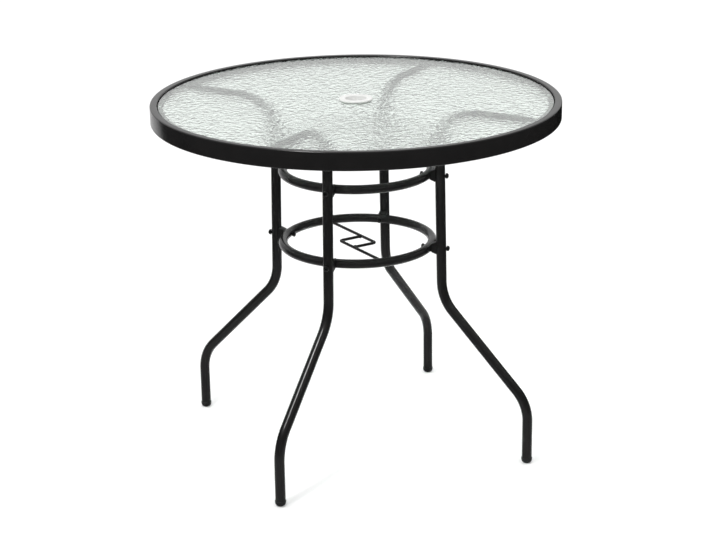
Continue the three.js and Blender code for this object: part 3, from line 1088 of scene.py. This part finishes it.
def rod_beads_mesh():
    """Welds round the rods' ends: on the ring, and where each rod meets the other."""
    at_ring = ROD_REACH - END_WELD_SINK
    at_rod = ROD_RETURN - END_WELD_SINK
    runs = []
    for half_turn in range(2):
        place = rod_frame(half_turn)
        on_ring = [
            place @ Vector((at_ring, y - HOLDER_HALF, z)) for y, z in circle(RING_WELD, END_WELD_POINTS)
        ]
        on_rod = [
            place @ Vector((x - HOLDER_HALF, at_rod, z)) for x, z in circle(ROD_WELD, END_WELD_POINTS)
        ]
        runs += [(on_ring, RING_WELD_BEAD), (on_rod, ROD_WELD_BEAD)]
    return beads_mesh(runs, True, END_WELD_SIDES)


four_pieces("tapped_tab", tab_mesh(), COAT, "powder_coat", "rim_tab")
four_pieces("tab_weld", tab_beads_mesh(), COAT, "powder_coat")
piece("rod_welds", rod_beads_mesh(), COAT, "powder_coat")


# Screws, bolts and nuts, drawn along Z from their tips

FASTENER_SIDES = 72
THREAD_TURNS = 7
HEAD_SPANS = 10
HEAD_EDGE = 0.0002
RECESS_MARGIN = 1.05  # a head's round top starts this much outside its recess
SCREW_CROSS = (0.0056, 0.0014)  # length and width of the recess's arms at its mouth
SCREW_CROSS_FLOOR = (0.0026, 0.0010)
SCREW_CROSS_DEPTH = 0.0020
BOLT_SOCKET = 0.004  # across flats
BOLT_SOCKET_TAPER = 0.97
BOLT_SOCKET_DEPTH = 0.0024
NUT_FACE = 0.95  # width of its flat faces, as a share of the width across flats
NUT_CHAMFER = math.radians(30)
NUT_CHAMFER_ROWS = 5


def thread_tree():
    """Winds a sharp ridge round the lower part of a shank."""
    tree, given = new_tree(
        "thread_on_a_shank",
        {"Radius": "Float", "Pitch": "Float", "Turns": "Float", "Finish": "Material"},
    )
    half_pitch = add(
        tree, "ShaderNodeMath", {"operation": "MULTIPLY"}, {0: given["Pitch"], 1: 0.5}
    ).outputs[0]
    centre = add(
        tree, "ShaderNodeMath", {"operation": "SUBTRACT"}, {0: given["Radius"], 1: half_pitch}
    ).outputs[0]
    length = add(
        tree, "ShaderNodeMath", {"operation": "MULTIPLY"}, {0: given["Pitch"], 1: given["Turns"]}
    ).outputs[0]
    spiral = add(
        tree,
        "GeometryNodeCurveSpiral",
        links={
            "Resolution": 24,
            "Rotations": given["Turns"],
            "Start Radius": centre,
            "End Radius": centre,
            "Height": length,
        },
    )
    lift = add(tree, "ShaderNodeCombineXYZ", links={"Z": half_pitch})
    raised = add(
        tree,
        "GeometryNodeTransform",
        links={"Geometry": spiral.outputs[0], "Translation": lift.outputs[0]},
    )
    steady = add(
        tree, "GeometryNodeSetCurveNormal", {"mode": "Z_UP"}, {"Curve": raised.outputs[0]}
    )
    section = add(
        tree,
        "GeometryNodeCurvePrimitiveCircle",
        {"mode": "RADIUS"},
        {"Resolution": 4, "Radius": half_pitch},
    )
    ridge = add(
        tree,
        "GeometryNodeCurveToMesh",
        links={"Curve": steady.outputs[0], "Profile Curve": section.outputs[0], "Fill Caps": True},
    )
    both = add(tree, "GeometryNodeJoinGeometry")
    tree.links.new(given["Geometry"], both.inputs[0])
    tree.links.new(ridge.outputs[0], both.inputs[0])
    close_tree(tree, both.outputs[0], given["Finish"])
    return tree


THREAD_TREE = thread_tree()


def hexagon(flats):
    """Radii of a hexagon, given its width across flats."""
    headings = np.arange(FASTENER_SIDES) * math.tau / FASTENER_SIDES
    return flats / 2 / np.cos(headings % (math.pi / 3) - math.pi / 6)


def cross(length, width):
    """Radii of a cross recess, given the length and width of its arms."""
    headings = np.arange(FASTENER_SIDES) * math.tau / FASTENER_SIDES
    off_arm = np.abs((headings + math.pi / 4) % (math.pi / 2) - math.pi / 4)
    return np.minimum(length / 2 / np.cos(off_arm), width / 2 / np.maximum(np.sin(off_arm), 1e-6))


def threaded_mesh(length, head):
    """A shank of a length from its tip, threaded at the tip, with a head's outline on its far end."""
    core = BOLT_SHANK - THREAD_PITCH / 2
    threaded = THREAD_TURNS * THREAD_PITCH
    outline = [
        (0, 0),
        (core - THREAD_PITCH / 2, 0),
        (core, THREAD_PITCH / 2),
        (core, threaded + THREAD_PITCH),
        (BOLT_SHANK, threaded + 2 * THREAD_PITCH),
        (BOLT_SHANK, length),
        *[(radius, length + height) for radius, height in head],
    ]
    values = {
        "Radius": BOLT_SHANK,
        "Pitch": THREAD_PITCH,
        "Turns": THREAD_TURNS - 0.5,
        "Finish": ZINC,
    }
    return grown(lathe(outline, FASTENER_SIDES), THREAD_TREE, values)


def round_head(radius, height, rounding, mouth, floor, depth):
    """A head's outline from the shank outwards and down from its recess's mouth to its floor."""
    slope = math.degrees(math.acos((mouth.max() * RECESS_MARGIN - radius + rounding) / rounding))
    centre = (radius - rounding, height - rounding)
    return [
        (radius - HEAD_EDGE, 0),
        (radius, HEAD_EDGE),
        *arc(centre, rounding, 0, slope, HEAD_SPANS),
        (mouth, height - rounding * (1 - math.sin(math.radians(slope)))),
        (floor, height - depth),
        (0, height - depth),
    ]


def nut_mesh():
    """A hexagon nut with its corners turned off at both faces."""
    corners = hexagon(NUT_FLATS)
    face = NUT_FLATS / 2 * NUT_FACE
    slope = math.tan(NUT_CHAMFER)
    heights = np.linspace(0, (corners.max() - face) * slope, NUT_CHAMFER_ROWS)
    turned_off = [(np.minimum(corners, face + height / slope), height) for height in heights]
    bore = BOLT_SHANK + SEAT_GAP
    outline = [
        *turned_off,
        *[(radii, NUT_THICKNESS - height) for radii, height in reversed(turned_off)],
        (bore, NUT_THICKNESS),
        (bore, 0),
    ]
    return lathe(outline, FASTENER_SIDES)


LIE_ALONG_X = Matrix.Rotation(math.pi / 2, 4, "Y")
SCREW_TIP = TAB_TOP - SEAT_GAP
SCREW_UNDER_HEAD = TONGUE_LEVEL - TONGUE_THICKNESS / 2 - SEAT_GAP


def arm_screw_mesh():
    mouth = cross(*SCREW_CROSS)
    floor = cross(*SCREW_CROSS_FLOOR)
    head = round_head(
        SCREW_HEAD, SCREW_HEAD_HEIGHT, SCREW_HEAD_ROUND, mouth, floor, SCREW_CROSS_DEPTH
    )
    mesh = threaded_mesh(SCREW_TIP - SCREW_UNDER_HEAD, head)
    upside_down = Matrix.Rotation(math.pi, 4, "X")
    mesh.transform(Matrix.Translation(ARM_SCREW + Vector((0, 0, SCREW_TIP))) @ upside_down)
    return mesh


def nut_face(height):
    """Where a nut bears on the inside of its ring, by its distance from the table's axis."""
    return (ring_radius(height) - RING_TUBE) * math.cos(math.pi / NUT_FACETS) - SEAT_GAP


def ring_bolt_mesh(height):
    axis = upright_at(height)
    tip = nut_face(height) - NUT_THICKNESS - BOLT_TIP
    under_head = axis.x + LEG_TUBE + BOLT_NECK
    mouth = hexagon(BOLT_SOCKET)
    floor = mouth * BOLT_SOCKET_TAPER
    head = round_head(
        BOLT_HEAD, BOLT_HEAD_HEIGHT, BOLT_HEAD_ROUND, mouth, floor, BOLT_SOCKET_DEPTH
    )
    mesh = threaded_mesh(under_head - tip, head)
    mesh.transform(Matrix.Translation((tip, axis.y, height)) @ LIE_ALONG_X)
    return mesh


def ring_nut_mesh(height):
    mesh = nut_mesh()
    place = (nut_face(height) - NUT_THICKNESS, upright_at(height).y, height)
    mesh.transform(Matrix.Translation(place) @ LIE_ALONG_X)
    return mesh


SPACER_CORNER = 0.002
SPACER_EDGE = 0.0006
SPACER_LOOPS = (0.15, 0.35, 0.55, 0.75, 0.9, 1)  # on each hollowed end, as shares of its size


def spacer_mesh(height):
    """A moulded saddle between a ring and a leg, hollowed to both tubes and taller at the leg."""
    axis = upright_at(height)
    radius = ring_radius(height)
    half_width = SPACER_WIDTH / 2

    def at_ring(y, z):
        reach = math.sqrt(max((RING_TUBE + SEAT_GAP) ** 2 - z * z, (RING_TUBE - SPACER_WRAP) ** 2))
        return math.sqrt((radius + reach) ** 2 - (axis.y + y) ** 2)

    def at_leg(y, z):
        wrap = math.sqrt(max((LEG_TUBE + SEAT_GAP) ** 2 - y * y, (LEG_TUBE - SPACER_WRAP) ** 2))
        return upright_at(height + z).x - wrap

    def end_loops(surface, half_height, inset):
        outline = rounded_rectangle(
            -half_width, half_width, -half_height, half_height, SPACER_CORNER
        )
        shrunk = outline * (1 - SPACER_EDGE / np.array([half_width, half_height]))
        loops = [shrunk * share for share in SPACER_LOOPS]
        rows = [[(surface(y, z), axis.y + y, height + z) for y, z in loop] for loop in loops]
        rows.append([(surface(y, z) + inset, axis.y + y, height + z) for y, z in outline])
        return rows

    ring_end = end_loops(at_ring, SPACER_RING_HEIGHT / 2, SPACER_EDGE)
    leg_end = end_loops(at_leg, SPACER_LEG_HEIGHT / 2, -SPACER_EDGE)
    return loft(ring_end + leg_end[::-1])


four_pieces("arm_screw_set", arm_screw_mesh(), ZINC, "black_zinc", "arm_screw")
for level in LEVELS:
    rise = RING_RISE[level]
    saddle = spacer_mesh(rise)
    four_pieces(f"{level}_saddle", saddle, BLACK_PLASTIC, "black_plastic", f"{level}_spacer")
    bolt = ring_bolt_mesh(rise)
    four_pieces(f"{level}_ring_bolt", bolt, ZINC, "black_zinc", f"{level}_bolt")
    nut = ring_nut_mesh(rise)
    four_pieces(f"{level}_hex_nut", nut, ZINC, "black_zinc", f"{level}_nut")


# Camera


def photograph_camera():
    forward = Vector((0, math.cos(CAMERA_PITCH), -math.sin(CAMERA_PITCH)))
    right = Vector((1, 0, 0))
    up = right.cross(forward)
    rolled_right = right * math.cos(CAMERA_ROLL) + up * math.sin(CAMERA_ROLL)
    rolled_up = up * math.cos(CAMERA_ROLL) - right * math.sin(CAMERA_ROLL)
    axes = Matrix((rolled_right, rolled_up, -forward)).transposed()
    turn = Matrix.Rotation(CAMERA_HEADING, 3, "Z")
    data = bpy.data.cameras.new("photograph")
    data.lens = CAMERA_LENS
    data.sensor_width = CAMERA_SENSOR
    camera = new_object("photograph", data)
    camera.matrix_world = (turn @ axes).to_4x4()
    camera.location = CAMERA_PLACE
    bpy.context.scene.camera = camera


photograph_camera()


# Studio: pale floor, even white sky, two lamps, and black flags that show in mirrored rays alone

FLOOR_REACH = 30
SKY_STRENGTH = 2.0
SKY = [(0.0, 0.52), (0.12, 0.58), (0.45, 0.62), (0.7, 0.56), (1.0, 0.50)]  # by the height's sine
FLAG_RADIUS = 1.1
FLAG_BOTTOM = 0.01
FLAG_TOP = 0.75
FLAG_SPANS = 48
FLAG_LEFT = math.radians(62)  # from the camera's heading to the flags' ends
FLAG_RIGHT = math.radians(32)
LAMP_PLACE = (-0.56, -1.6, 3.2)
LAMP_AIM = (0, 0, 0.3)
KEY_SIZE = (0.25, 0.4)
KEY_POWER = 24
SHEEN_SIZE = (0.5, 0.9)
SHEEN_POWER = 240


def on_stage(name, points, faces, finish):
    """A thing of the studio's, which is no part of the table."""
    mesh = bpy.data.meshes.new(name)
    mesh.from_pydata(points, [], faces)
    mesh.materials.append(finish)
    item = new_object(name, mesh)
    return item


def hide_from(item, *rays):
    for ray in rays:
        setattr(item, f"visible_{ray}", False)


def pale_floor():
    paint = new_finish(
        "pale_floor", {"Base Color": linear("#fcfcfc"), "Roughness": 0.9, "Specular IOR Level": 0}
    )
    corners = [(x * FLOOR_REACH, y * FLOOR_REACH, 0) for x, y in ((-1, -1), (1, -1), (1, 1), (-1, 1))]
    on_stage("floor", corners, [(0, 1, 2, 3)], paint)


def even_sky():
    """White light from all round, a little stronger halfway up."""
    world = bpy.data.worlds.new("studio")
    bpy.context.scene.world = world
    world.use_nodes = True
    sky = world.node_tree
    direction = add(sky, "ShaderNodeTexCoord").outputs["Generated"]
    height = add(sky, "ShaderNodeSeparateXYZ", links={"Vector": direction}).outputs["Z"]
    glow = add(sky, "ShaderNodeFloatCurve", links={"Value": height})
    curve = glow.mapping.curves[0]
    for (share, strength), point in zip(SKY[:1] + SKY[-1:], curve.points):
        point.location = (share, strength)
    for share, strength in SKY[1:-1]:
        curve.points.new(share, strength)
    glow.mapping.update()
    brightness = add(
        sky, "ShaderNodeMath", {"operation": "MULTIPLY"}, {0: glow.outputs[0], 1: SKY_STRENGTH}
    )
    backdrop = sky.nodes["Background"]
    backdrop.inputs["Color"].default_value = linear("#ffffff")
    sky.links.new(brightness.outputs[0], backdrop.inputs["Strength"])


def black_flags():
    """Black cloth round the table's front and sides, open behind it, as photographers set it up.

    It neither shades the table nor hides it from a camera.
    """
    ahead = math.pi / 2 + CAMERA_HEADING
    headings = np.linspace(ahead + FLAG_LEFT, ahead + math.tau - FLAG_RIGHT, FLAG_SPANS + 1)
    plan = FLAG_RADIUS * np.stack([np.cos(headings), np.sin(headings)], 1)
    rows = [(*p, height) for height in (FLAG_BOTTOM, FLAG_TOP) for p in plan]
    above = FLAG_SPANS + 1
    faces = [(i, i + 1, i + 1 + above, i + above) for i in range(FLAG_SPANS)]
    cloth = new_finish(
        "black_cloth", {"Base Color": linear("#050505"), "Roughness": 1.0, "Specular IOR Level": 0}
    )
    flags = on_stage("flags", rows, faces, cloth)
    hide_from(flags, "camera", "diffuse", "transmission", "volume_scatter", "shadow")


def softbox(name, size, power):
    """A lamp high up before the table and to its left, of a size and a power in watts."""
    data = bpy.data.lights.new(name, "AREA")
    data.shape = "RECTANGLE"
    data.size, data.size_y = size
    data.energy = power
    lamp = new_object(name, data)
    lamp.location = LAMP_PLACE
    lamp.rotation_euler = (Vector(LAMP_AIM) - Vector(LAMP_PLACE)).to_track_quat("-Z", "Y").to_euler()
    return lamp


pale_floor()
even_sky()
black_flags()
softbox("key", KEY_SIZE, KEY_POWER)
# The larger lamp shows in gloss alone: it draws the streaks along the tubes
sheen = softbox("sheen", SHEEN_SIZE, SHEEN_POWER)
hide_from(sheen, "camera", "diffuse", "transmission", "volume_scatter")
bpy.context.scene.view_settings.view_transform = "Standard"
